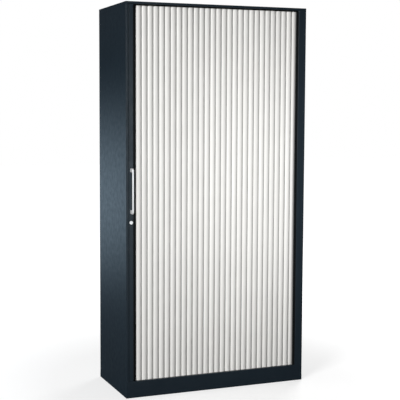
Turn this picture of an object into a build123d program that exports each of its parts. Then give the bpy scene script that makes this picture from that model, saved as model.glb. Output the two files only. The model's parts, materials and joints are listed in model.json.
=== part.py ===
"""Tambour cupboard: a tall steel cupboard closed by a curtain of upright slats.

The curtain is led by a handle rail. It slides from left to right and turns round
the right front corner into a pocket between the outer skin and the lining.

Frame: millimetres, +Z up, the front faces -Y. The origin is on the floor, under the
middle of the box that holds the carcass and the bow handle.
"""
import os
from math import cos, pi, sin

from build123d import *

# ---- carcass ---------------------------------------------------------------
width = 1000.0
depth = 435.0
height = 1980.0
skin = 0.8  # sheet steel of panels, lining and shelves
bend_radius = 2.0  # outside radius of a folded edge
plinth_height = 30.0
apron_height = 54.0
top_band = 18.0  # top of the cupboard down to the curtain's opening
top_face = 12.0  # face of the top panel; the track shows below it
stile_width = 43.0
left_face = 14.0  # face of the left side panel beside the rail
left_return = 12.0
rear_flange = 15.0
pocket = 30.0  # outer face to lining, at the sides and the rear
lining_set_back = 52.0  # front plane to the front edge of the side lining
lining_hem = 5.0
lining_corner = 28.0  # radius of the lining's upright corners
lining_lap = 60.0  # side lining's reach along the rear
deck_drop = 13.0  # top of the apron down to the floor panel

# ---- base frame and levelling feet -----------------------------------------
frame_wall = 1.5
frame_top_flange = 25.0
frame_bottom_flange = 12.0
gusset_size = 90.0
gusset_thickness = 3.0
foot_inset = 55.0
foot_pad_radius = 18.0
foot_pad_sides = 12
foot_pad_height = 6.0
foot_stud_radius = 5.0
foot_stud_top = 50.0
nut_height = 8.0
nut_flats = 16.0
thread_gap = 0.1
access_hole_radius = 7.0
plug_head_radius = 9.0
plug_head_height = 1.5
plug_stem_length = 4.0

# ---- curtain and tracks ----------------------------------------------------
curtain_inset = 24.0  # front plane to the line of the slat joints
side_inset = 14.0
rear_inset = 18.0
corner_radius = 42.0
track_wall = 1.5
track_outer = 10.0  # joint line to the outside of the track's outer wall
track_inner = 6.5
track_end_x = -120.0
track_stop_length = 12.0
slat_pitch = 31.0
tail_slats = 3  # slats past the last whole one of the straight front
slat_crown = 7.6
slat_edge = 4.4
slat_wall = 1.1
slat_groove = 4.0  # gap between the faces of two slats
slat_shift = 0.4  # the face, from the middle between its joints
slat_flat = 12.4  # width of the inner crown
bead_radius = 1.6
hook_sides = 8  # the bead and its socket are drawn as octagons
socket_gap = 0.3
socket_wall = 1.1
mouth_reach = 6.0  # corners of the triangle that opens a socket
mouth_front = -3.3
mouth_rear = 12.0
neck_width = 1.4
neck_reach = 4.9
slat_end_gap = 1.5

# ---- handle rail and what it carries ---------------------------------------
rail_width = 24.5
rail_depth = 18.0
rail_set_back = 2.0
rail_wall = 2.0
rail_bend = 2.5
rail_lip = 3.5
rail_gap = 0.5  # left side panel to rail when shut
rail_end_gap = 4.0
cap_thickness = 3.0
cap_gap = 1.0  # raised front of the upper cap to the track and the top panel
connector_width = 17.5
connector_wall = 2.5
connector_lap = 3.5
shoe_length = 24.0
shoe_gap = 1.5
shoe_end_gap = 1.0
buffer_radius = 2.4
buffer_gap = 0.3

# ---- bow handle and lock ---------------------------------------------------
handle_reach = 31.0  # front plane to the front of the bow
handle_width = 9.0
handle_bar = 9.0  # depth of the bar, front to back
handle_leg = 20.0  # height of a leg
handle_pitch = 208.0
handle_corner = 12.0
handle_inner_corner = 10.0
handle_round = 4.0  # along the long edges
handle_z = 1048.0
screw_radius = 2.0
screw_gap = 0.1
screw_depth = 12.0
screw_end_gap = 1.0
screw_head_radius = 4.0
screw_head_height = 2.6
lock_z = 891.0
rosette_radius = 9.0
rosette_height = 3.0
rosette_edge = 1.0
lock_body_radius = 7.5
lock_bore_radius = 5.6
barrel_radius = 5.5
barrel_recess = 0.5
key_slot = (1.2, 7.0, 2.0)  # width, height, depth
cam_hub_radius = 7.5
cam_thickness = 2.5
cam_gap = 1.0  # back of the rail to the lock body and to the cam
cam_reach = 14.5
cam_lip = 2.5
cam_lip_drop = 8.0
cam_arm = 5.0
keeper_gap = 0.5
keeper_width = 4.0
keeper_height = 12.0
strike_wall = 2.0
strike_height = 60.0
strike_gap = 2.0  # head of the cam screw to the plate

# ---- interior --------------------------------------------------------------
shelf_count = 4
shelf_drop = 25.0
shelf_side_gap = 1.0
shelf_corner = 20.0
upright_width = 25.0
upright_depth = 10.0
upright_wall = 1.2
upright_inset = 30.0
slot_pitch = 75.0
slot_width = 12.0
slot_height = 5.0
clip_width = 10.0
clip_wall = 2.5
clip_gap = 0.2  # between the clip's hook and the upright
clip_arm = 14.0
clip_hook = 5.0
clip_tail = 2.0
seal_wall = 1.5
seal_lip = 14.0  # black lip of the edge trim, seen beside the stile

# ---- places worked out from the dimensions ---------------------------------
rear_y = (depth + handle_reach) / 2
front_y = rear_y - depth
mid_y = (front_y + rear_y) / 2
left_x = -width / 2
right_x = width / 2
inner_x = width / 2 - pocket
lining_front_y = front_y + lining_set_back
lining_rear_y = rear_y - pocket
apron_top = plinth_height + apron_height
deck_top = apron_top - deck_drop
band_bottom = height - top_band
face_bottom = height - top_face

front_line_y = front_y + curtain_inset
side_line_x = right_x - side_inset
rear_line_y = rear_y - rear_inset
reveal = curtain_inset - track_outer
track_start_x = left_x + 2 * skin
inner_front_y = front_line_y + track_inner + track_wall

rail_left = left_x + left_face + rail_gap
rail_right = rail_left + rail_width
rail_mid = (rail_left + rail_right) / 2
rail_front = front_y + rail_set_back
rail_back = rail_front + rail_depth
rail_bottom = apron_top + rail_end_gap
rail_top = band_bottom - rail_end_gap
first_joint_x = rail_right + connector_width
slat_bottom = deck_top + track_wall + slat_end_gap
slat_top = height - skin - track_wall - slat_end_gap
socket_inside = bead_radius + socket_gap
socket_outside = socket_inside + socket_wall

os.makedirs("parts", exist_ok=True)


def keep(piece, label):
    """Label a finished piece and write its file."""
    piece.part.label = label
    export_step(piece.part, f"parts/{label}.step")


def folded(points, side, radius=bend_radius, wall=skin):
    """Sketch of a folded sheet: its outer line, thickened to one side."""
    with BuildLine() as outline:
        FilletPolyline(*points, radius=radius)
        offset(amount=wall, side=side)
    make_face(outline.edges())


def block(low, high, mode=Mode.ADD):
    """A box between two corners."""
    size = [b - a for a, b in zip(low, high)]
    with Locations(tuple(a + s / 2 for a, s in zip(low, size))):
        Box(*size, mode=mode)


def plan(low, high):
    """A rectangle between two corners of the plan."""
    with Locations(((low[0] + high[0]) / 2, (low[1] + high[1]) / 2)):
        Rectangle(high[0] - low[0], high[1] - low[1])


def tray(low, high, z_low, z_high, open_up=False, holes=(), rear_round=0, front_right_round=0):
    """A folded tray of sheet steel, open below or above, with round access holes."""
    with BuildPart() as shell:
        with BuildSketch(Plane.XY.offset(z_low)):
            plan(low, high)
        extrude(amount=z_high - z_low)
        corners = shell.edges().filter_by(Axis.Z).group_by(Axis.Y)
        if front_right_round:
            fillet(corners[0].sort_by(Axis.X)[-1], radius=front_right_round)
        if rear_round:
            fillet(shell.edges().filter_by(Axis.Z).group_by(Axis.Y)[-1], radius=rear_round)
        ends = shell.faces().sort_by(Axis.Z)
        offset(amount=-skin, openings=ends[-1] if open_up else ends[0])
        for hole in holes:
            with BuildSketch(Plane((*hole, z_low))):
                Circle(access_hole_radius)
            extrude(amount=z_high - z_low, mode=Mode.SUBTRACT)
    return shell


# ---- outer panels ----------------------------------------------------------
with BuildPart() as left_side_panel:
    with BuildSketch(Plane.XY.offset(plinth_height)):
        folded(
            [
                (left_x + left_face, front_y + left_return),
                (left_x + left_face, front_y),
                (left_x, front_y),
                (left_x, rear_y),
                (left_x + rear_flange, rear_y),
            ],
            Side.RIGHT,
        )
    extrude(amount=height - plinth_height)
    block(
        (left_x + skin, front_y, plinth_height),
        (left_x + left_face, front_y + left_return, apron_top),
        mode=Mode.SUBTRACT,
    )
    block((left_x + skin, front_y, face_bottom), (0, mid_y, height), mode=Mode.SUBTRACT)
    block((left_x + skin, mid_y, band_bottom), (0, rear_y, height), mode=Mode.SUBTRACT)
keep(left_side_panel, "left_side_panel")

with BuildPart() as right_side_panel:
    with BuildSketch(Plane.XY.offset(plinth_height)):
        folded(
            [
                (right_x - stile_width, front_y + reveal),
                (right_x - stile_width, front_y),
                (right_x, front_y),
                (right_x, rear_y),
                (right_x - rear_flange, rear_y),
            ],
            Side.LEFT,
        )
    extrude(amount=height - plinth_height)
    block(
        (right_x - stile_width, front_y, plinth_height),
        (right_x - skin, front_y + reveal, apron_top),
        mode=Mode.SUBTRACT,
    )
    block((0, front_y, face_bottom), (right_x - skin, mid_y, height), mode=Mode.SUBTRACT)
    block((0, mid_y, band_bottom), (right_x - skin, rear_y, height), mode=Mode.SUBTRACT)
keep(right_side_panel, "right_side_panel")

across = Plane.YZ.offset(left_x + skin)
clear_width = width - 2 * skin

with BuildPart() as top_panel:
    with BuildSketch(across):
        folded(
            [
                (front_y + reveal, face_bottom),
                (front_y, face_bottom),
                (front_y, height),
                (rear_y, height),
                (rear_y, band_bottom),
            ],
            Side.RIGHT,
        )
    extrude(amount=clear_width)
keep(top_panel, "top_panel")

with BuildPart() as front_apron:
    with BuildSketch(across):
        folded(
            [(front_y + reveal, apron_top), (front_y, apron_top), (front_y, plinth_height)],
            Side.LEFT,
        )
    extrude(amount=clear_width)
keep(front_apron, "front_apron")

with BuildPart() as rear_panel:
    block(
        (left_x + bend_radius, rear_y - 2 * skin, plinth_height),
        (right_x - bend_radius, rear_y - skin, height - bend_radius),
    )
keep(rear_panel, "rear_panel")

# ---- base frame, feet and floor --------------------------------------------
foot_x = width / 2 - foot_inset
foot_y = depth / 2 - foot_inset
feet = GridLocations(2 * foot_x, 2 * foot_y, 2, 2).locations
foot_places = [(place.position.X, place.position.Y + mid_y) for place in feet]
foot_names = ["front_left", "rear_left", "front_right", "rear_right"]
gusset_top = plinth_height - frame_wall
nut_top = gusset_top - gusset_thickness

with BuildPart() as base_frame:
    with BuildSketch(Plane((0, mid_y, 0))):
        Rectangle(width, depth)
    extrude(amount=plinth_height)
    with BuildSketch(Plane((0, mid_y, frame_wall))):
        Rectangle(width - 2 * frame_wall, depth - 2 * frame_wall)
    extrude(amount=plinth_height - 2 * frame_wall, mode=Mode.SUBTRACT)
    with BuildSketch(Plane((0, mid_y, gusset_top))):
        Rectangle(width - 2 * frame_top_flange, depth - 2 * frame_top_flange)
    extrude(amount=frame_wall, mode=Mode.SUBTRACT)
    with BuildSketch(Plane((0, mid_y, 0))):
        Rectangle(width - 2 * frame_bottom_flange, depth - 2 * frame_bottom_flange)
    extrude(amount=frame_wall, mode=Mode.SUBTRACT)
    with BuildSketch(Plane((0, mid_y, nut_top))):
        gusset_x = width / 2 - frame_wall - gusset_size / 2
        gusset_y = depth / 2 - frame_wall - gusset_size / 2
        with GridLocations(2 * gusset_x, 2 * gusset_y, 2, 2):
            Rectangle(gusset_size, gusset_size)
        with GridLocations(2 * foot_x, 2 * foot_y, 2, 2):
            Circle(foot_stud_radius + 1, mode=Mode.SUBTRACT)
    extrude(amount=gusset_thickness)
keep(base_frame, "base_frame")

with BuildPart() as foot_nuts:
    with BuildSketch(Plane.XY.offset(nut_top - nut_height)):
        with Locations(foot_places):
            RegularPolygon(nut_flats / 2, 6, major_radius=False)
            Circle(foot_stud_radius + thread_gap, mode=Mode.SUBTRACT)
    extrude(amount=nut_height)
keep(foot_nuts, "foot_nuts")

for foot_name, (x, y) in zip(foot_names, foot_places):
    with BuildPart() as foot:
        with BuildSketch(Plane((x, y, 0))):
            RegularPolygon(foot_pad_radius, foot_pad_sides)
        extrude(amount=foot_pad_height)
        with BuildSketch(Plane((x, y, foot_pad_height))):
            Circle(foot_stud_radius)
        extrude(amount=foot_stud_top - foot_pad_height)
    keep(foot, f"foot_{foot_name}")

floor_panel = tray(
    (left_x + skin, front_y + skin),
    (right_x - skin, rear_y - bend_radius),
    plinth_height,
    deck_top,
    holes=foot_places,
)
keep(floor_panel, "floor_panel")

base_shelf = tray(
    (-inner_x, inner_front_y),
    (inner_x, lining_rear_y),
    deck_top,
    apron_top,
    holes=foot_places,
    rear_round=lining_corner,
    front_right_round=lining_corner,
)
keep(base_shelf, "base_shelf")

with BuildPart() as access_plugs:
    with BuildSketch(Plane.XY.offset(apron_top)):
        with Locations(foot_places):
            Circle(plug_head_radius)
    extrude(amount=plug_head_height)
    with BuildSketch(Plane.XY.offset(apron_top)):
        with Locations(foot_places):
            Circle(access_hole_radius - thread_gap)
    extrude(amount=-plug_stem_length)
keep(access_plugs, "access_plugs")

# ---- lining ----------------------------------------------------------------
with BuildPart() as left_liner:
    with BuildSketch(Plane.XY.offset(deck_top)):
        folded(
            [
                (left_x + skin, lining_front_y),
                (-inner_x, lining_front_y),
                (-inner_x, lining_rear_y),
                (lining_lap - inner_x, lining_rear_y),
            ],
            Side.LEFT,
            radius=[bend_radius, lining_corner],
        )
    extrude(amount=height - skin - deck_top)
keep(left_liner, "left_liner")

with BuildPart() as right_liner:
    with BuildSketch(Plane.XY.offset(deck_top)):
        folded(
            [
                (inner_x + lining_hem, lining_front_y),
                (inner_x, lining_front_y),
                (inner_x, lining_rear_y),
                (inner_x - lining_lap, lining_rear_y),
            ],
            Side.RIGHT,
            radius=[bend_radius, lining_corner],
        )
    extrude(amount=height - skin - deck_top)
keep(right_liner, "right_liner")

with BuildPart() as rear_liner:
    block(
        (lining_lap - inner_x, lining_rear_y, deck_top),
        (inner_x - lining_lap, lining_rear_y + skin, height - skin),
    )
keep(rear_liner, "rear_liner")

ceiling_liner = tray(
    (-inner_x, inner_front_y),
    (inner_x, lining_rear_y),
    band_bottom,
    height - skin,
    open_up=True,
    rear_round=lining_corner,
    front_right_round=lining_corner,
)
keep(ceiling_liner, "ceiling_liner")

# ---- shelves on clips in slotted uprights ----------------------------------
inner_height = band_bottom - apron_top
slot_rows = int(inner_height // slot_pitch) - 1
shelf_rows = [round((i + 1) * (slot_rows + 1) / (shelf_count + 1)) for i in range(shelf_count)]
shelf_seats = [apron_top + slot_pitch * row + clip_wall / 2 for row in shelf_rows]
front_upright_y = lining_front_y + upright_inset + upright_width / 2
rear_upright_y = lining_rear_y - upright_inset - upright_width / 2
web_x = inner_x - upright_depth


def upright(side, y):
    """A channel whose slotted web faces the shelves; side is -1 at the left, 1 at the right."""
    half = upright_width / 2
    slot_z = apron_top + slot_pitch * (slot_rows + 1) / 2
    with BuildPart() as channel:
        with BuildSketch(Plane.XY.offset(apron_top)):
            folded(
                [
                    (side * inner_x, y - half),
                    (side * web_x, y - half),
                    (side * web_x, y + half),
                    (side * inner_x, y + half),
                ],
                Side.LEFT if side < 0 else Side.RIGHT,
                wall=upright_wall,
            )
        extrude(amount=inner_height)
        with BuildSketch(Plane((side * web_x, y, slot_z), x_dir=(0, 1, 0), z_dir=(side, 0, 0))):
            with GridLocations(slot_width, slot_pitch, 1, slot_rows):
                Rectangle(slot_width, slot_height)
        extrude(amount=upright_wall, mode=Mode.SUBTRACT)
    return channel


for side, side_name in ((-1, "left"), (1, "right")):
    keep(upright(side, front_upright_y), f"upright_front_{side_name}")
    keep(upright(side, rear_upright_y), f"upright_rear_{side_name}")

shelf_x = web_x - shelf_side_gap
for number, seat in enumerate(shelf_seats, 1):
    shelf = tray(
        (-shelf_x, lining_front_y + shelf_side_gap),
        (shelf_x, lining_rear_y - shelf_side_gap),
        seat,
        seat + shelf_drop,
        rear_round=shelf_corner,
    )
    keep(shelf, f"shelf_{number}")

with BuildPart() as shelf_clips:
    for seat in shelf_seats:
        for y in (front_upright_y, rear_upright_y):
            tail_x = web_x + upright_wall + clip_tail
            with BuildSketch(Plane.XZ.offset(-y - clip_width / 2)):
                with BuildLine():
                    Polyline(
                        (web_x - clip_arm, seat),
                        (web_x + upright_wall + clip_gap, seat),
                        (web_x + upright_wall + clip_gap, seat + clip_hook),
                        (tail_x, seat + clip_hook),
                        (tail_x, seat - clip_wall),
                        (web_x - clip_arm, seat - clip_wall),
                        close=True,
                    )
                make_face()
            extrude(amount=clip_width)
    mirror(about=Plane.YZ)
keep(shelf_clips, "shelf_clips")


# ---- tracks ----------------------------------------------------------------
def track_band(outer, inner):
    """Plan of a band that follows the joint line, from outer to inner of that line."""
    start = (track_start_x, front_line_y - outer)
    end = (track_start_x, front_line_y + inner)
    turn = (track_end_x, rear_line_y + outer)
    back = (track_end_x, rear_line_y - inner)
    outer_x = side_line_x + outer
    inner_turn_x = side_line_x - inner
    with BuildLine() as outline:
        FilletPolyline(
            start,
            (outer_x, front_line_y - outer),
            (outer_x, rear_line_y + outer),
            turn,
            radius=corner_radius + outer,
        )
        Line(turn, back)
        FilletPolyline(
            back,
            (inner_turn_x, rear_line_y - inner),
            (inner_turn_x, front_line_y + inner),
            end,
            radius=corner_radius - inner,
        )
        Line(end, start)
    make_face(outline.edges())


def track(z_low, z_high, groove_low, groove_high):
    """A U channel between two heights, with its groove between two more."""
    with BuildPart() as channel:
        with BuildSketch(Plane.XY.offset(z_low)):
            track_band(track_outer, track_inner)
        extrude(amount=z_high - z_low)
        with BuildSketch(Plane.XY.offset(groove_low)):
            track_band(track_outer - track_wall, track_inner - track_wall)
        extrude(amount=groove_high - groove_low, mode=Mode.SUBTRACT)
    return channel


top_track_top = height - skin
bottom_groove = deck_top + track_wall
top_groove = top_track_top - track_wall
keep(track(deck_top, apron_top, bottom_groove, apron_top), "bottom_track")
keep(track(band_bottom, top_track_top, band_bottom, top_groove), "top_track")

with BuildPart() as track_stops:
    stop_front = rear_line_y - track_inner + track_wall
    stop_rear = rear_line_y + track_outer - track_wall
    for z_low, z_high in ((bottom_groove, apron_top), (band_bottom, top_groove)):
        block((track_end_x, stop_front, z_low), (track_end_x + track_stop_length, stop_rear, z_high))
keep(track_stops, "track_stops")

with BuildPart() as stile_edge_profile:
    edge_x = right_x - stile_width
    edge_y = front_y + reveal
    with BuildSketch(Plane.XY.offset(apron_top)):
        with BuildLine():
            Polyline(
                (edge_x, front_y + bend_radius),
                (edge_x - seal_lip, front_y + bend_radius),
                (edge_x - seal_lip, front_y + bend_radius + seal_wall),
                (edge_x - seal_wall, front_y + bend_radius + seal_wall),
                (edge_x - seal_wall, edge_y + seal_wall),
                (edge_x + skin + seal_wall, edge_y + seal_wall),
                (edge_x + skin + seal_wall, edge_y - reveal / 2),
                (edge_x + skin, edge_y - reveal / 2),
                (edge_x + skin, edge_y),
                (edge_x, edge_y),
                close=True,
            )
        make_face()
    extrude(amount=inner_height)
keep(stile_edge_profile, "stile_edge_profile")


# ---- curtain ---------------------------------------------------------------
corner_x = side_line_x - corner_radius
straight = corner_x - first_joint_x
slat_count = int(straight // slat_pitch) + tail_slats
quarter = corner_radius * pi / 2


def line_point(distance):
    """Point of the joint line, measured from the first joint along front, corner and side."""
    if distance <= straight:
        return Vector(first_joint_x + distance, front_line_y, slat_bottom)
    turn = min(distance - straight, quarter) / corner_radius
    beyond = max(distance - straight - quarter, 0)
    return Vector(
        corner_x + corner_radius * sin(turn),
        front_line_y + corner_radius * (1 - cos(turn)) + beyond,
        slat_bottom,
    )


def next_joint(distance):
    """Distance of the joint that lies one slat pitch, in a straight line, past another."""
    low = distance
    high = distance + 2 * slat_pitch
    for _ in range(40):
        middle = (low + high) / 2
        if (line_point(middle) - line_point(distance)).length < slat_pitch:
            low = middle
        else:
            high = middle
    return high


def socket(centre_x):
    """The open ring that holds the next slat's bead; it opens to the right and the rear."""
    with Locations((centre_x, 0)):
        RegularPolygon(socket_outside, hook_sides)
        RegularPolygon(socket_inside, hook_sides, mode=Mode.SUBTRACT)
    with BuildLine() as opening:
        Polyline(
            (centre_x, 0),
            (centre_x + mouth_reach, mouth_front),
            (centre_x + mouth_reach, mouth_rear),
            close=True,
        )
    make_face(opening.edges(), mode=Mode.SUBTRACT)


def slat_section():
    """Section of one slat: x runs from its bead to its socket, y to the rear."""
    edge_left = slat_groove / 2 + slat_shift
    edge_right = slat_pitch + edge_left - slat_groove
    middle = (edge_left + edge_right) / 2
    inner_edge = slat_wall - slat_edge
    inner_crown = slat_wall - slat_crown
    socket(slat_pitch)
    with BuildLine() as face_line:
        ThreePointArc((edge_left, -slat_edge), (middle, -slat_crown), (edge_right, -slat_edge))
        Polyline(
            (edge_right, -slat_edge),
            (edge_right, inner_edge),
            (middle + slat_flat / 2, inner_crown),
            (middle - slat_flat / 2, inner_crown),
            (edge_left, inner_edge),
            (edge_left, -slat_edge),
        )
    make_face(face_line.edges())
    plan((slat_pitch - socket_outside, -slat_edge), (edge_right, -socket_inside))
    RegularPolygon(bead_radius, hook_sides)
    plan((bead_radius / 2, -neck_width / 2), (neck_reach, neck_width / 2))
    plan((neck_reach, -slat_edge - slat_wall), (neck_reach + neck_width, neck_width / 2))


joint_distances = [0.0]
for _ in range(slat_count):
    joint_distances.append(next_joint(joint_distances[-1]))
joints = [line_point(distance) for distance in joint_distances]

slats = []
for start, end in zip(joints, joints[1:]):
    with BuildPart() as slat:
        with BuildSketch(Plane(start, x_dir=end - start, z_dir=(0, 0, 1))):
            slat_section()
        extrude(amount=slat_top - slat_bottom)
    slats.append(slat.part.solid())
tambour_slats = Compound(slats, label="tambour_slats")
export_step(tambour_slats, "parts/tambour_slats.step")

# ---- handle rail -----------------------------------------------------------
rail_plan = Plane.XY.offset(rail_bottom)
rail_length = rail_top - rail_bottom
rail_face = Plane.XZ.offset(-rail_front)
lock_place = (rail_mid, lock_z)
handle_ends = [(rail_mid, handle_z - handle_pitch / 2), (rail_mid, handle_z + handle_pitch / 2)]

with BuildPart() as handle_rail:
    with BuildSketch(rail_plan):
        folded(
            [
                (rail_left + rail_lip, rail_back),
                (rail_left, rail_back),
                (rail_left, rail_front),
                (rail_right, rail_front),
                (rail_right, rail_back),
                (rail_right - rail_lip, rail_back),
            ],
            Side.LEFT,
            radius=rail_bend,
            wall=rail_wall,
        )
    extrude(amount=rail_length)
    with BuildSketch(rail_face):
        with Locations(lock_place):
            Circle(lock_body_radius + screw_gap)
        with Locations(handle_ends):
            Circle(screw_radius + screw_gap)
    extrude(amount=-rail_wall, mode=Mode.SUBTRACT)
keep(handle_rail, "handle_rail")

with BuildPart() as rail_end_caps:
    for z in (rail_bottom - cap_thickness, rail_top):
        block((rail_left, rail_front, z), (rail_right, rail_back, z + cap_thickness))
        block(
            (rail_mid - shoe_length / 2, rail_back, z),
            (rail_mid + shoe_length / 2, front_line_y + track_inner - track_wall, z + cap_thickness),
        )
    block(
        (rail_left, rail_front, rail_top + cap_thickness),
        (rail_right, front_y + reveal - cap_gap, face_bottom - cap_gap),
    )
keep(rail_end_caps, "rail_end_caps")

with BuildPart() as guide_shoes:
    shoe_front = front_line_y - track_outer + track_wall + shoe_gap
    shoe_rear = front_line_y + track_inner - track_wall - shoe_gap
    low_end = (bottom_groove + shoe_end_gap, rail_bottom - cap_thickness)
    high_end = (rail_top + cap_thickness, top_groove - shoe_end_gap)
    for z_low, z_high in (low_end, high_end):
        block(
            (rail_mid - shoe_length / 2, shoe_front, z_low),
            (rail_mid + shoe_length / 2, shoe_rear, z_high),
        )
    fillet(guide_shoes.edges().filter_by(Axis.Z), radius=shoe_gap)
keep(guide_shoes, "guide_shoes")

with BuildPart() as rail_connector:
    with BuildSketch(Plane((first_joint_x, front_line_y, rail_bottom))):
        socket(0)
        plan(
            (-connector_width - connector_lap, rail_back - front_line_y),
            (-bead_radius, rail_back - front_line_y + connector_wall),
        )
    extrude(amount=rail_length)
keep(rail_connector, "rail_connector")

with BuildPart() as rail_buffers:
    buffer_y = (front_y + left_return + rail_back) / 2
    low_z = rail_bottom + shelf_drop
    high_z = rail_top - shelf_drop
    with BuildSketch(Plane.YZ.offset(left_x + skin)):
        with Locations([(buffer_y, z) for z in (low_z, (low_z + high_z) / 2, high_z)]):
            Circle(buffer_radius)
    extrude(amount=rail_left - buffer_gap - left_x - skin)
keep(rail_buffers, "rail_buffers")

# ---- bow handle ------------------------------------------------------------
bow_front = front_y - handle_reach
bow_back = bow_front + handle_bar


def bow_outline(front, half_height, radius, mode=Mode.ADD):
    """A round-cornered outline in side view, from the rail to a front plane."""
    low = (rail_front, handle_z - half_height)
    high = (rail_front, handle_z + half_height)
    with BuildLine() as outline:
        FilletPolyline(low, (front, low[1]), (front, high[1]), high, radius=radius)
        Line(high, low)
    make_face(outline.edges(), mode=mode)


with BuildPart() as bow_handle:
    with BuildSketch(Plane.YZ.offset(rail_mid)):
        bow_outline(bow_front, (handle_pitch + handle_leg) / 2, handle_corner)
        bow_outline(bow_back, (handle_pitch - handle_leg) / 2, handle_inner_corner, Mode.SUBTRACT)
    extrude(amount=handle_width / 2, both=True)
    long_edges = [
        edge
        for face in bow_handle.faces().filter_by(Axis.X)
        for edge in face.edges()
        if edge.center().Y < rail_front - screw_gap
    ]
    fillet(long_edges, radius=handle_round)
    with BuildSketch(rail_face):
        with Locations(handle_ends):
            Circle(screw_radius + screw_gap)
    extrude(amount=screw_depth, mode=Mode.SUBTRACT)
keep(bow_handle, "bow_handle")

with BuildPart() as handle_screws:
    inside = Plane.XZ.offset(-rail_front - rail_wall)
    with BuildSketch(inside):
        with Locations(handle_ends):
            Circle(screw_radius)
    extrude(amount=rail_wall + screw_depth - screw_end_gap)
    with BuildSketch(inside):
        with Locations(handle_ends):
            Circle(screw_head_radius)
    extrude(amount=-screw_head_height)
keep(handle_screws, "handle_screws")

# ---- lock ------------------------------------------------------------------
lock_axis = Axis((rail_mid, 0, lock_z), (0, 1, 0))
lock_half_plan = Plane((rail_mid, 0, lock_z), x_dir=(1, 0, 0), z_dir=(0, 0, 1))
lock_rear = rail_back - cam_gap
cam_front = rail_back + cam_gap
cam_rear = cam_front + cam_thickness

with BuildPart() as lock_body:
    with BuildSketch(lock_half_plan):
        with BuildLine():
            Polyline(
                (lock_bore_radius, rail_front - rosette_height),
                (rosette_radius - rosette_edge, rail_front - rosette_height),
                (rosette_radius, rail_front - rosette_height + rosette_edge),
                (rosette_radius, rail_front),
                (lock_body_radius, rail_front),
                (lock_body_radius, lock_rear),
                (lock_bore_radius, lock_rear),
                close=True,
            )
        make_face()
    revolve(axis=lock_axis)
keep(lock_body, "lock_body")

with BuildPart() as lock_barrel:
    with BuildSketch(Plane.XZ.offset(-rail_front + rosette_height - barrel_recess)):
        with Locations(lock_place):
            Circle(barrel_radius)
    extrude(amount=-(cam_front - rail_front + rosette_height - barrel_recess))
    with BuildSketch(Plane.XZ.offset(-rail_front + rosette_height - barrel_recess)):
        with Locations(lock_place):
            Rectangle(key_slot[0], key_slot[1])
    extrude(amount=-key_slot[2], mode=Mode.SUBTRACT)
keep(lock_barrel, "lock_barrel")

with BuildPart() as lock_cam:
    with BuildSketch(Plane.XZ.offset(-cam_front)):
        lip_high = lock_z + cam_reach + cam_lip
        with Locations(lock_place):
            Circle(cam_hub_radius)
        plan((rail_mid - cam_arm / 2, lock_z), (rail_mid + cam_arm / 2, lip_high))
        plan((rail_mid - cam_lip_drop, lock_z + cam_reach), (rail_mid, lip_high))
        with Locations(lock_place):
            Circle(screw_radius + screw_gap, mode=Mode.SUBTRACT)
    extrude(amount=-cam_thickness)
keep(lock_cam, "lock_cam")

with BuildPart() as cam_screw:
    with BuildSketch(Plane.XZ.offset(-cam_front)):
        with Locations(lock_place):
            Circle(screw_radius)
    extrude(amount=-cam_thickness)
    with BuildSketch(Plane.XZ.offset(-cam_rear)):
        with Locations(lock_place):
            Circle(screw_head_radius)
    extrude(amount=-screw_head_height)
keep(cam_screw, "cam_screw")

with BuildPart() as strike_plate:
    keeper_left = rail_mid - cam_reach + keeper_gap
    plate_front = cam_rear + screw_head_height + strike_gap
    plate_rear = lining_front_y - strike_wall
    strike_z = lock_z - strike_height / 2
    block(
        (left_x + skin, plate_front, strike_z),
        (left_x + skin + strike_wall, plate_rear, strike_z + strike_height),
    )
    block(
        (left_x + skin, plate_front, strike_z),
        (keeper_left + keeper_width + strike_wall, plate_front + strike_wall, strike_z + strike_height),
    )
    keeper_top = lock_z - cam_arm / 2 - keeper_gap
    block(
        (keeper_left, cam_front - keeper_gap, keeper_top - keeper_height),
        (keeper_left + keeper_width, plate_front, keeper_top),
    )
keep(strike_plate, "strike_plate")
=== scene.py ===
import json
import random
from math import cos, pi, radians, sin

import bmesh
import bpy
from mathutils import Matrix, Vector


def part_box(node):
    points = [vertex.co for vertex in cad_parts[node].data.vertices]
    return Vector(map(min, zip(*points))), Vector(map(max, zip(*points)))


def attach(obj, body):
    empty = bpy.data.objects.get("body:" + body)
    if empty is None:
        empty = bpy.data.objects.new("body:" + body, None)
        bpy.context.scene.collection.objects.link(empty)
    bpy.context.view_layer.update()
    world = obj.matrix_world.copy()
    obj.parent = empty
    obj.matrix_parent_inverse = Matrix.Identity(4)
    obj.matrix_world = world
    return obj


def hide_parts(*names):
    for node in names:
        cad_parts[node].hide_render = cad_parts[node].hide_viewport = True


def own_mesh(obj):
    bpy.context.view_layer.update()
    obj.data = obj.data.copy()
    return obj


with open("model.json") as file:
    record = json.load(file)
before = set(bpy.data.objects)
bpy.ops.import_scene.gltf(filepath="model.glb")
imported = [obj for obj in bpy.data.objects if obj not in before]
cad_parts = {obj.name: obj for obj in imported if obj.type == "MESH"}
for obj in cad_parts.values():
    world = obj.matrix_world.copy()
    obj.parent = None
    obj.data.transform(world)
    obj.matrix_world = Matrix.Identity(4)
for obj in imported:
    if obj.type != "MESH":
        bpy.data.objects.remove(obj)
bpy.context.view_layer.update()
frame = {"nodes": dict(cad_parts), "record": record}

MM = 0.001
WHITE = (1, 1, 1, 1)

# ---- sizes read from the frame, in metres -----------------------------------
curtain_low, curtain_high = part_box("tambour_slats")
bow_low, bow_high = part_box("bow_handle")
lock_low, lock_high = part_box("lock_body")
barrel_low, barrel_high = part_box("lock_barrel")


# ---- shader helpers ----------------------------------------------------------
def grey(level):
    return (level, level, level, 1)


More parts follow.
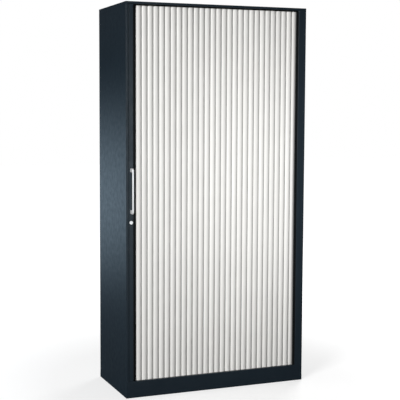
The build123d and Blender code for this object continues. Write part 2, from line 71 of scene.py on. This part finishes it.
class Nodes:
    """A node tree, with short ways to add nodes and wire them up."""

    def __init__(self, tree):
        self.tree = tree

    def add(self, kind, operation=None, **values):
        """A node; values name its inputs, as a number, a colour or another node's output."""
        node = self.tree.nodes.new(kind)
        if operation:
            node.operation = operation
        for name, value in values.items():
            self.set(node.inputs[name.replace("_", " ")], value)
        return node

    def set(self, socket, value):
        if isinstance(value, bpy.types.NodeSocket):
            self.tree.links.new(value, socket)
        else:
            socket.default_value = value

    def join(self, kind, first, second, **values):
        """A node that takes two numbers, or two shaders, which share one input name."""
        node = self.add(kind, **values)
        shared = [socket for socket in node.inputs if socket.name == node.inputs[-1].name]
        self.set(shared[0], first)
        self.set(shared[1], second)
        return node.outputs[0]

    def between(self, value, low, high, start=0.0, end=1.0, curve="LINEAR"):
        """value from start to end becomes low to high."""
        node = self.add("ShaderNodeMapRange", Value=value)
        node.interpolation_type = curve
        for name, end_value in zip(
            ("From Min", "From Max", "To Min", "To Max"), (start, end, low, high)
        ):
            self.set(node.inputs[name], end_value)
        return node.outputs["Result"]

    def colours(self, value, low, high):
        """value from 0 to 1 blends two colours."""
        node = self.tree.nodes.new("ShaderNodeMix")
        node.data_type = "RGBA"
        self.set(node.inputs["Factor"], value)
        self.set(node.inputs["A"], low)
        self.set(node.inputs["B"], high)
        return node.outputs["Result"]

    def show(self, shader):
        """The shader becomes the material's surface."""
        self.set(self.tree.nodes["Material Output"].inputs["Surface"], shader)


class Shader(Nodes):
    """A node material with its Principled shader ready to wire up."""

    def __init__(self, name, roughness, metallic=0.0, specular=0.5):
        self.material = bpy.data.materials.new(name)
        self.material.use_nodes = True
        super().__init__(self.material.node_tree)
        self.surface = self.tree.nodes["Principled BSDF"]
        self.surface.inputs["Metallic"].default_value = metallic
        self.surface.inputs["Specular IOR Level"].default_value = specular
        self.surface.inputs["Roughness"].default_value = roughness
        self.place = self.add("ShaderNodeTexCoord").outputs["Object"]

    def stretched(self, vector, scale):
        """The vector, scaled along each axis."""
        return self.add("ShaderNodeMapping", Vector=vector, Scale=scale).outputs["Vector"]

    def noise(self, scale, detail=2.0, where=None):
        node = self.add("ShaderNodeTexNoise", Scale=scale, Detail=detail)
        self.set(node.inputs["Vector"], where or self.place)
        return node.outputs["Fac"]

    def spread(self, noise, low, high):
        """Noise, most of which lies between 0.3 and 0.7, fills low to high."""
        return self.between(noise, low, high, 0.3, 0.7)

    def attribute(self, name):
        """A number that the mesh holds for each point."""
        node = self.add("ShaderNodeAttribute")
        node.attribute_name = name
        return node.outputs["Fac"]

    def bump(self, height, strength, distance):
        """Adds to the bumps that are there."""
        node = self.add("ShaderNodeBump", Height=height, Strength=strength, Distance=distance)
        below = self.surface.inputs["Normal"]
        if below.is_linked:
            self.set(node.inputs["Normal"], below.links[0].from_socket)
        self.set(below, node.outputs["Normal"])

    def base(self, value):
        self.set(self.surface.inputs["Base Color"], value)

    def roughness(self, value):
        self.set(self.surface.inputs["Roughness"], value)


# ---- materials ----------------------------------------------------------------
def powder_coat(name, light, dark, roughness, specular):
    """Baked paint: fine orange peel, a faint mottle and fingertip-sized gloss changes."""
    shader = Shader(name, roughness, specular=specular)
    mottle = shader.noise(9.0, 4.0)
    shader.base(shader.colours(shader.spread(mottle, 0.0, 1.0), dark, light))
    gloss = shader.noise(38.0, 3.0)
    shader.roughness(shader.spread(gloss, roughness - 0.05, roughness + 0.05))
    shader.bump(shader.noise(900.0, 2.0), 0.25, 0.05 * MM)
    shader.bump(shader.noise(260.0, 1.0), 0.20, 0.12 * MM)
    return shader.material


def black_plastic(name):
    """Moulded plastic: dull, with a fine spark-eroded grain. Near black: partly the trims' and
    tracks' own black, partly painted shade for the shaded gaps round the curtain that they fill.
    """
    shader = Shader(name, 0.5, specular=0.15)
    cloud = shader.noise(60.0)
    # near black, partly painted shade for the gaps round the curtain
    shader.base(shader.colours(cloud, (0.002, 0.0025, 0.003, 1), (0.004, 0.005, 0.006, 1)))
    shader.roughness(shader.spread(shader.noise(900.0), 0.42, 0.62))
    shader.bump(shader.noise(1600.0, 3.0), 0.35, 0.05 * MM)
    return shader.material


def slat_plastic(name, light, dark, groove_shade):
    """Extruded plastic: each slat a shade apart, with draw lines along its length; its ring, web and
    bead, which lie in the grooves, get a darker grey as painted shade.
    """
    shader = Shader(name, 0.42, specular=0.3)
    shade = shader.attribute("slat_shade")
    across = shader.attribute("across")
    height = shader.add("ShaderNodeSeparateXYZ", Vector=shader.place).outputs["Z"]
    flat = shader.add("ShaderNodeCombineXYZ", X=across, Z=height).outputs["Vector"]
    lines = shader.noise(1400.0, 3.0, shader.stretched(flat, (1.0, 1.0, 0.012)))
    base = shader.colours(shade, dark, light)
    soft = shader.spread(shader.noise(7.0, 3.0, flat), 0.965, 1.0)
    # painted shade: the ring, web and bead, which lie in the grooves between slats, take the darker
    # grey
    base = shader.colours(shader.attribute("hinge"), base, groove_shade)
    tint = shader.add("ShaderNodeVectorMath", "SCALE", Vector=base, Scale=soft)
    shader.base(tint.outputs["Vector"])
    shader.roughness(shader.spread(lines, 0.36, 0.50))
    shader.bump(lines, 0.18, 0.04 * MM)
    shader.bump(shader.noise(2400.0, 2.0), 0.12, 0.03 * MM)
    return shader.material


def bright_metal(name):
    """Satin nickel: long fine brush lines under a soft shine."""
    shader = Shader(name, 0.36, metallic=0.45)
    brushed = shader.stretched(shader.place, (4200.0, 4200.0, 120.0))
    lines = shader.noise(1.0, 4.0, brushed)
    shader.base(shader.colours(lines, (0.76, 0.77, 0.78, 1), (0.90, 0.91, 0.92, 1)))
    shader.roughness(shader.spread(lines, 0.30, 0.42))
    shader.bump(lines, 0.08, 0.02 * MM)
    return shader.material


def zinc_steel(name, light, dark, roughness):
    """Zinc plate: soft cloudy crystals, with a faint bluish cast."""
    shader = Shader(name, roughness, metallic=1.0)
    crystals = shader.add("ShaderNodeTexVoronoi", Vector=shader.place, Scale=190.0)
    cloud = shader.noise(45.0, 3.0)
    mixed = shader.join("ShaderNodeMath", crystals.outputs["Color"], cloud, operation="MULTIPLY")
    brightest = 0.6
    shader.base(shader.colours(shader.between(mixed, 0.0, 1.0, end=brightest), dark, light))
    shader.roughness(shader.between(mixed, roughness - 0.08, roughness + 0.10, end=brightest))
    shader.bump(cloud, 0.10, 0.04 * MM)
    return shader.material


def rubber(name):
    """Soft black rubber, chalky in patches."""
    shader = Shader(name, 0.85, specular=0.2)
    patches = shader.noise(80.0, 4.0)
    shader.base(shader.colours(patches, (0.010, 0.010, 0.010, 1), (0.030, 0.029, 0.028, 1)))
    shader.bump(shader.noise(1100.0, 3.0), 0.5, 0.06 * MM)
    return shader.material


finishes = {
    "carcass_paint": (
        powder_coat, (0.0088, 0.0168, 0.0250, 1), (0.0078, 0.0150, 0.0226, 1), 0.40, 0.25
    ),
    "interior_paint": (
        powder_coat, (0.0150, 0.0215, 0.0280, 1), (0.0125, 0.0185, 0.0245, 1), 0.46, 0.30
    ),
    "rail_paint": (
        powder_coat, (0.0110, 0.0200, 0.0285, 1), (0.0098, 0.0180, 0.0260, 1), 0.38, 0.25
    ),
    "slat_plastic": (
        # the third colour is painted shade for the grooves between slats
        slat_plastic, (0.840, 0.832, 0.808, 1), (0.785, 0.777, 0.755, 1), (0.360, 0.355, 0.345, 1)
    ),
    "black_plastic": (black_plastic,),
    "bright_metal": (bright_metal,),
    "zinc_steel": (zinc_steel, (0.62, 0.64, 0.66, 1), (0.44, 0.45, 0.47, 1), 0.36),
    "foot_steel": (zinc_steel, (0.52, 0.53, 0.55, 1), (0.36, 0.37, 0.39, 1), 0.42),
    "rubber": (rubber,),
}
looks = {name: make(name, *values) for name, (make, *values) in finishes.items()}

for part in frame["record"]["subparts"]:
    node = frame["nodes"][part["node"]]
    if not node.material_slots:
        node.data.materials.append(None)
    for holder in node.material_slots:
        holder.link = "OBJECT"
        holder.material = looks[part["material_slot"]]


# ---- mesh helpers ------------------------------------------------------------
def solid(name, points, faces, slot, body, crease, stands_for):
    """A smooth-shaded mesh with sharp edges past the crease angle, riding on a body."""
    mesh = bpy.data.meshes.new(name)
    mesh.from_pydata(points, [], faces)
    mesh.validate()
    skin = bmesh.new()
    skin.from_mesh(mesh)
    bmesh.ops.recalc_face_normals(skin, faces=skin.faces)
    skin.to_mesh(mesh)
    skin.free()
    mesh.shade_smooth()
    mesh.set_sharp_from_angle(angle=radians(crease))
    piece = bpy.data.objects.new(name, mesh)
    bpy.context.scene.collection.objects.link(piece)
    piece.data.materials.append(looks[slot])
    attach(piece, body)
    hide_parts(*stands_for)
    return piece


def ring_faces(rings, sides, closed=False, base=0):
    """Quads between rings of equal size that follow each other in the point list."""
    faces = []
    for ring in range(rings if closed else rings - 1):
        here = base + ring * sides
        there = base + (ring + 1) % rings * sides
        for side in range(sides):
            after = (side + 1) % sides
            faces.append((here + side, here + after, there + after, there + side))
    return faces


def end_faces(first, last, sides):
    """The first ring turned over and the last ring, given by their first points."""
    return [tuple(reversed(range(first, first + sides))), tuple(range(last, last + sides))]


def flattened(rings):
    return [point for ring in rings for point in ring]


def circles(profile, centre, sides):
    """Rings about a line along y through the centre; the profile gives (radius, y)."""
    turns = [2 * pi * i / sides for i in range(sides)]
    return [
        [(centre.x + radius * cos(turn), y, centre.z + radius * sin(turn)) for turn in turns]
        for radius, y in profile
    ]


# ---- curtain: slats that hook into one another --------------------------------
PITCH = 31.0 * MM
SLATS = 31
STRAIGHT_SLATS = 29  # the others stay in the corner, where slats follow one another
CORNER = 42.0 * MM  # radius of the line of the joints
SIDE_LINE_X = 486.0 * MM
LINE_Y = -178.0 * MM
FIRST_JOINT_X = -443.5 * MM
FACE_LEFT = 2.4 * MM
FACE_RIGHT = 29.4 * MM
FACE_EDGE = 3.4 * MM
FACE_RISE = 4.2 * MM  # the crown stands this far in front of the edges
FACE_POWER = 2.3  # 2 is a parabola, and more is flatter in the middle
FACE_STEPS = 14  # from the crown's middle to either edge
WALL = 1.1 * MM
WALL_STEPS = 14
BEAD = 1.6 * MM
BEAD_STEPS = 18
RING_IN = 1.9 * MM
RING_OUT = 3.0 * MM
RING_FACE = 256.5  # degrees; where the ring leaves the face
RING_OPEN = (-29.0, 63.0)  # degrees; the mouth that the next slat's neck leaves by
RING_STEPS = (7, 22, 10)  # outside from the face, inside, outside to the web
WEB = 1.4 * MM
WEB_REACH = 4.9 * MM
WEB_TURN = 26.0  # degrees; where the web meets the bead
JOINT_HALVINGS = 40
SLAT_CREASE = 32.0
SHADE_SEED = 7


def arc(centre, radius, start, end, steps):
    """Points of a plane arc, angles in degrees."""
    turns = [radians(start + (end - start) * i / steps) for i in range(steps + 1)]
    return [(centre[0] + radius * cos(t), centre[1] + radius * sin(t)) for t in turns]


def slat_outline():
    """Outline of one slat: x from its bead to its ring, y to the rear, its face to the front."""
    middle = (FACE_LEFT + FACE_RIGHT) / 2
    half = FACE_RIGHT - middle
    face_rear = -FACE_EDGE + WALL / 2

    def face_y(x):
        """A low crown, which falls off towards the edges of the face."""
        return -FACE_EDGE - FACE_RISE * (1 - min(abs(x - middle) / half, 1.0) ** FACE_POWER)

    def inner_y(x):
        return max(face_y(x) + WALL, face_rear - FACE_RISE)

    shares = [sin(pi / 2 * (i / FACE_STEPS - 1)) for i in range(2 * FACE_STEPS + 1)]
    outline = [(middle + share * half, face_y(middle + share * half)) for share in shares]
    outline.append((FACE_RIGHT, face_rear))
    ring = (PITCH, 0.0)
    mouth_low, mouth_high = 360 + RING_OPEN[0], RING_OPEN[1]
    outline += arc(ring, RING_OUT, RING_FACE, mouth_low, RING_STEPS[0])
    outline += arc(ring, RING_IN, mouth_low, mouth_high, RING_STEPS[1])
    outline += arc(ring, RING_OUT, mouth_high, 180, RING_STEPS[2])
    web_x = PITCH - RING_OUT
    far_x = WEB_REACH + WEB
    inside = [web_x + (far_x - web_x) * i / WALL_STEPS for i in range(WALL_STEPS + 1)]
    outline += [(x, inner_y(x)) for x in inside]
    outline.append((far_x, WEB / 2))
    outline += arc((0.0, 0.0), BEAD, WEB_TURN, 360 - WEB_TURN, BEAD_STEPS)
    outline.append((WEB_REACH, -WEB / 2))
    outline += [(x, inner_y(x)) for x in (WEB_REACH, (WEB_REACH + FACE_LEFT) / 2)]
    outline.append((FACE_LEFT, face_rear))
    return outline, len(shares)


def joint_line():
    """The slats' joints, each one pitch from the last, along the front and round the corner."""
    corner = Vector((SIDE_LINE_X - CORNER, LINE_Y + CORNER, 0.0))
    straight = corner.x - FIRST_JOINT_X
    quarter = CORNER * pi / 2

    def at(distance):
        if distance <= straight:
            return Vector((FIRST_JOINT_X + distance, LINE_Y, 0.0))
        turn = min(distance - straight, quarter) / CORNER
        beyond = max(distance - straight - quarter, 0.0)
        return corner + Vector((CORNER * sin(turn), -CORNER * cos(turn) + beyond, 0.0))

    distance = 0.0
    joints = [at(distance)]
    for _ in range(SLATS):
        low, high = distance, distance + 2 * PITCH
        for _ in range(JOINT_HALVINGS):  # until the chord to the next joint is one pitch long
            middle = (low + high) / 2
            if (at(middle) - at(distance)).length < PITCH:
                low = middle
            else:
                high = middle
        distance = high
        joints.append(at(distance))
    return joints


def curtain(name, joints, first, last, draws):
    """Slats first to last - 1 as one mesh, with a shade for each and a coordinate across it."""
    outline, face_points = slat_outline()
    sides = len(outline)
    points, faces, across, shades, groove_shade_masks = [], [], [], [], []
    for index in range(first, last):
        along = (joints[index + 1] - joints[index]).normalized()
        rear = Vector((-along.y, along.x, 0.0))
        base = len(points)
        for z in (curtain_low.z, curtain_high.z):
            for number, (x, y) in enumerate(outline):
                # 1 on the ring, web and bead, which the slat material darkens as painted shade in the
                # grooves
                groove_shade_masks.append(0.0 if number < face_points else 1.0)
                place = joints[index] + along * x + rear * y
                points.append((place.x, place.y, z))
                across.append(index * PITCH + x)
                shades.append(draws[index])
        faces += ring_faces(2, sides, base=base)
        faces += end_faces(base, base + sides, sides)
    stands_for = ("tambour_slats",)
    piece = solid(name, points, faces, "slat_plastic", "carcass", SLAT_CREASE, stands_for)
    for attribute, values in (("across", across), ("slat_shade", shades), ("hinge", groove_shade_masks)):
        layer = piece.data.attributes.new(attribute, "FLOAT", "POINT")
        layer.data.foreach_set("value", values)
    return piece


random.seed(SHADE_SEED)
slat_draws = [random.random() for _ in range(SLATS)]
slat_joints = joint_line()
front_curtain = curtain("curtain_front", slat_joints, 0, STRAIGHT_SLATS, slat_draws)
curtain("curtain_corner", slat_joints, STRAIGHT_SLATS, SLATS, slat_draws)
# fully open, the folded curtain ends just past the connector that leads it
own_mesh(front_curtain)

# ---- bow handle ----------------------------------------------------------------
RAIL_FRONT = -200.0 * MM
BOW_BAR = 9.0 * MM  # depth of the bar, front to back
BOW_LEG = 20.0 * MM  # height of a leg
BOW_CORNER = 12.0 * MM
BOW_INNER_CORNER = 10.0 * MM
BOW_ROUND = 4.0 * MM
BAR_HALF = 3.7 * MM  # half the bar's width; the legs are as wide as the solid
LEG_STEPS = 4
BEND_STEPS = 18
BOW_SIDES = 48
BOW_CREASE = 50.0
bow_half = (bow_high.x - bow_low.x) / 2
bow_x = (bow_low.x + bow_high.x) / 2
bow_middle = (bow_low.z + bow_high.z) / 2


def bow_corner(front, foot, radius):
    """(y, z) along the lower half of one outline of the bow, from the rail to its bar."""
    bend_y = front + radius
    leg = bend_y - RAIL_FRONT
    points = [(RAIL_FRONT + leg * step / LEG_STEPS, foot) for step in range(LEG_STEPS)]
    for step in range(BEND_STEPS + 1):
        turn = radians(90.0 * step / BEND_STEPS)
        points.append((bend_y - radius * sin(turn), foot + radius * (1 - cos(turn))))
    return points


def oblong_reach(half, rounding, share):
    """Reach of a round-cornered oblong on one axis; share is the turn's sine or cosine."""
    flat = half - rounding
    return (flat if share > 0 else -flat) + rounding * share


def bow_ring(outer, inner, slim):
    """An oblong between the two outlines: as wide as the bow, or as its bar where slim is 1."""
    outer, inner = Vector((bow_x, *outer)), Vector((bow_x, *inner))
    centre = (outer + inner) / 2
    out = (outer - inner) / 2
    along = out.normalized()
    half = bow_half - (bow_half - BAR_HALF) * slim
    rounding = min(BOW_ROUND, half)
    ring = []
    for i in range(BOW_SIDES):
        turn = 2 * pi * (i + 0.5) / BOW_SIDES
        side = oblong_reach(half, rounding, cos(turn))
        reach = oblong_reach(out.length, rounding, sin(turn))
        ring.append(tuple(centre + Vector((side, 0.0, 0.0)) + along * reach))
    return ring


bow_outer = bow_corner(bow_low.y, bow_low.z, BOW_CORNER)
bow_inner = bow_corner(bow_low.y + BOW_BAR, bow_low.z + BOW_LEG, BOW_INNER_CORNER)
bow_slims = [0.0] * LEG_STEPS + [step / BEND_STEPS for step in range(BEND_STEPS + 1)]
bow_outer += [(y, 2 * bow_middle - z) for y, z in reversed(bow_outer)]
bow_inner += [(y, 2 * bow_middle - z) for y, z in reversed(bow_inner)]
bow_slims += reversed(bow_slims)
bow_points = flattened(map(bow_ring, bow_outer, bow_inner, bow_slims))
bow_faces = ring_faces(len(bow_slims), BOW_SIDES)
bow_faces += end_faces(0, len(bow_points) - BOW_SIDES, BOW_SIDES)
bow = solid(
    "bow_handle_bar", bow_points, bow_faces, "bright_metal", "shutter", BOW_CREASE, ("bow_handle",)
)
bow.visible_shadow = False  # the photograph's light leaves no shadow of it on the slats

# ---- lock: a rosette round a plug with a key slot --------------------------------
LOCK_CREASE = 30.0
BORE = 5.6 * MM
NECK = 7.5 * MM
ROSETTE_SIDES = 80
ROSETTE_SHOULDER = ((0.0, 1.2), (0.25, 0.55), (0.8, 0.15), (1.5, 0.0))  # mm in and back
BORE_LIP = ((0.5, 0.0), (0.1, 0.15), (0.0, 0.5))  # mm out from the bore and back
PLUG_SIDES = 64
PLUG_CHAMFER = 0.3 * MM
GROOVE = 4.7 * MM  # radius of the fine ring cut in the plug's face
GROOVE_HALF = 0.1 * MM
GROOVE_DEPTH = 0.3 * MM
SLOT_HALF = Vector((0.6 * MM, 0.0, 3.5 * MM))
SLOT_DEPTH = 2.0 * MM
SLOT_CORNERS = ((0, -1), (-1, -1), (-1, 1), (0, 1), (1, 1), (1, -1))
lock_centre = (lock_low + lock_high) / 2
rosette_radius = (lock_high.x - lock_low.x) / 2
plug_radius = (barrel_high.x - barrel_low.x) / 2
plug_front = barrel_low.y


def rosette():
    profile = [
        (BORE, lock_high.y),
        (NECK, lock_high.y),
        (NECK, RAIL_FRONT),
        (rosette_radius, RAIL_FRONT),
    ]
    edge, front = rosette_radius, lock_low.y
    profile += [(edge - inwards * MM, front + back * MM) for inwards, back in ROSETTE_SHOULDER]
    profile += [(BORE + outwards * MM, front + back * MM) for outwards, back in BORE_LIP]
    points = flattened(circles(profile, lock_centre, ROSETTE_SIDES))
    faces = ring_faces(len(profile), ROSETTE_SIDES, closed=True)
    solid("lock_rosette", points, faces, "bright_metal", "shutter", LOCK_CREASE, ("lock_body",))


def plug():
    profile = [
        (plug_radius, barrel_high.y),
        (plug_radius, plug_front + PLUG_CHAMFER),
        (plug_radius - PLUG_CHAMFER, plug_front),
        (GROOVE + GROOVE_HALF, plug_front),
        (GROOVE, plug_front + GROOVE_DEPTH),
        (GROOVE - GROOVE_HALF, plug_front),
    ]
    points = flattened(circles(profile, lock_centre, PLUG_SIDES))
    faces = ring_faces(len(profile), PLUG_SIDES)
    faces.append(tuple(range(PLUG_SIDES)))
    rim, mouth = len(points) - PLUG_SIDES, len(points)
    for y in (plug_front, plug_front + SLOT_DEPTH):
        for x, z in SLOT_CORNERS:
            x, z = lock_centre.x + x * SLOT_HALF.x, lock_centre.z + z * SLOT_HALF.z
            points.append((x, y, z))
    # two half discs join the rim to the slot's mouth
    quarter = PLUG_SIDES // 4
    left_rim = [rim + i for i in range(quarter, 3 * quarter + 1)]
    right_rim = [rim + i % PLUG_SIDES for i in range(3 * quarter, 5 * quarter + 1)]
    faces.append(tuple(left_rim + [mouth + i for i in (0, 1, 2, 3)]))
    faces.append(tuple(right_rim + [mouth + i for i in (3, 4, 5, 0)]))
    corners = len(SLOT_CORNERS)
    faces += ring_faces(2, corners, base=mouth)
    faces.append(tuple(range(mouth + corners, mouth + 2 * corners)))
    solid("lock_plug", points, faces, "bright_metal", "lock", LOCK_CREASE, ("lock_barrel",))


rosette()
plug()


# ---- studio ------------------------------------------------------------------
FLOOR_SIZE = 40.0
FLOOR_DARK = 0.06  # what the object's own light and shine meet there
GLOW_NEAR, GLOW_FAR = 0.62, 1.0  # with the lamps' light, a lit stretch of floor is white
GLOW_SPAN = (0.8, 2.4)  # metres from the object's middle
CARD_STRENGTH = 1.65
CARD_REACH = 1.0  # metres up or down from its middle to where it is dark
CARD_BLUE = (0.62, 0.82, 1.0, 1)
WORLD_SEEN, WORLD_LIGHT, WORLD_SHINE = 1.0, 0.20, 0.06  # to the camera, as light, in shine


def plane(name, centre, size, facing, shader_material):
    """A flat stage piece: size is (width, height), facing points away from its front."""
    half_w, half_h = size[0] / 2, size[1] / 2
    corners = [(-half_w, -half_h, 0), (half_w, -half_h, 0), (half_w, half_h, 0), (-half_w, half_h, 0)]
    mesh = bpy.data.meshes.new(name)
    mesh.from_pydata(corners, [], [(0, 1, 2, 3)])
    piece = bpy.data.objects.new(name, mesh)
    bpy.context.scene.collection.objects.link(piece)
    piece.location = centre
    piece.rotation_mode = "QUATERNION"
    piece.rotation_quaternion = Vector(facing).to_track_quat("Z", "Y")
    piece.data.materials.append(shader_material)
    return piece


def floor_material():
    """White floor with the object's soft shadow near it, and clear where it is seen from below."""
    shader = Shader("studio_floor", 0.65, specular=0.2)
    rays = shader.add("ShaderNodeLightPath").outputs
    pale = shader.colours(shader.noise(3.0, 3.0), grey(0.42), grey(0.45))
    unseen = shader.join(
        "ShaderNodeMath", rays["Is Glossy Ray"], rays["Is Diffuse Ray"], operation="MAXIMUM"
    )
    shader.base(shader.colours(unseen, pale, grey(FLOOR_DARK)))
    away = shader.add("ShaderNodeVectorMath", "LENGTH", Vector=shader.place).outputs["Value"]
    glow = shader.between(away, GLOW_NEAR, GLOW_FAR, *GLOW_SPAN)
    glow = shader.join("ShaderNodeMath", glow, rays["Is Camera Ray"], operation="MULTIPLY")
    white = shader.add("ShaderNodeEmission", Color=WHITE, Strength=glow).outputs["Emission"]
    lit = shader.join("ShaderNodeAddShader", shader.surface.outputs["BSDF"], white)
    below = shader.add("ShaderNodeNewGeometry").outputs["Backfacing"]
    clear = shader.add("ShaderNodeBsdfTransparent").outputs["BSDF"]
    shader.show(shader.join("ShaderNodeMixShader", lit, clear, Fac=below))
    return shader.material


def card_material():
    """A glowing card, brightest along its middle height, that fades out above and below."""
    material = bpy.data.materials.new("side_card")
    material.use_nodes = True
    nodes = Nodes(material.node_tree)
    nodes.tree.nodes.remove(nodes.tree.nodes["Principled BSDF"])
    place = nodes.add("ShaderNodeTexCoord").outputs["Object"]
    height = nodes.add("ShaderNodeSeparateXYZ", Vector=place).outputs["Y"]
    off_middle = nodes.add("ShaderNodeMath", "ABSOLUTE", Value=height).outputs["Value"]
    strength = nodes.between(off_middle, CARD_STRENGTH, 0.0, 0.0, CARD_REACH, "SMOOTHSTEP")
    glow = nodes.add("ShaderNodeEmission", Color=CARD_BLUE, Strength=strength)
    nodes.show(glow.outputs["Emission"])
    return material


def studio_world():
    """White to the camera, and dimmer as light on the object and in its reflections."""
    world = bpy.data.worlds.new("studio")
    bpy.context.scene.world = world
    world.use_nodes = True
    sky = Nodes(world.node_tree)
    sky.tree.nodes.clear()
    rays = sky.add("ShaderNodeLightPath").outputs
    strength = sky.between(rays["Is Camera Ray"], WORLD_LIGHT, WORLD_SEEN)
    strength = sky.between(rays["Is Glossy Ray"], strength, WORLD_SHINE)
    backdrop = sky.add("ShaderNodeBackground", Color=WHITE, Strength=strength)
    sky.add("ShaderNodeOutputWorld", Surface=backdrop.outputs["Background"])


def lamp(kind, name, place, target, power):
    """A lamp at its place, turned towards the target."""
    data = bpy.data.lights.new(name, kind)
    data.energy = power
    light = bpy.data.objects.new(name, data)
    bpy.context.scene.collection.objects.link(light)
    light.location = place
    light.rotation_mode = "QUATERNION"
    light.rotation_quaternion = (Vector(target) - Vector(place)).to_track_quat("-Z", "Y")
    return light


def area_lamp(name, place, target, power, size):
    light = lamp("AREA", name, place, target, power)
    light.data.shape = "RECTANGLE"
    light.data.size, light.data.size_y = size
    return light


plane("studio_floor", (0, 0, 0), (FLOOR_SIZE, FLOOR_SIZE), (0, 0, 1), floor_material())
card = plane("side_card", (-1.45, 2.6, 0.75), (3.0, 2.4), (0.35, -1, 0), card_material())
card.visible_camera = False
card.visible_diffuse = False
card.visible_shadow = False
studio_world()

area_lamp("key_light", (-5.9, -4.6, 2.9), (0, -0.2, 1.2), 590, (2.4, 2.6))
fill = area_lamp("fill_light", (1.15, -4.9, 0.95), (0, 0, 1.0), 40, (1.2, 1.2))
fill.data.color = (0.90, 0.97, 1.0)
fill.visible_diffuse = False  # it gives shine alone

# a soft pool of light on the middle of the curtain, which fades towards its top and bottom
pool = lamp("SPOT", "pool_light", (1.6, -4.6, 1.4), (0.34, -0.2, 1.08), 420)
pool.data.spot_size = radians(25.5)
pool.data.spot_blend = 1.0
pool.data.shadow_soft_size = 0.5
pool.visible_glossy = False

area_lamp("back_light", (3.6, 3.4, 2.6), (0, 0.2, 1.0), 120, (2.0, 2.4))

# ---- camera ------------------------------------------------------------------
YAW = 20.36
PITCH_DOWN = 4.6
lens = bpy.data.cameras.new("camera")
lens.lens = 86.04
lens.sensor_width = 36.0
lens.shift_x = 0.1349
lens.shift_y = -0.03
camera = bpy.data.objects.new("camera", lens)
bpy.context.scene.collection.objects.link(camera)
camera.location = (-2.0488, -4.6574, 1.4445)
camera.rotation_euler = (radians(90 - PITCH_DOWN), 0, radians(-YAW))
bpy.context.scene.camera = camera
bpy.context.scene.view_settings.view_transform = "Standard"
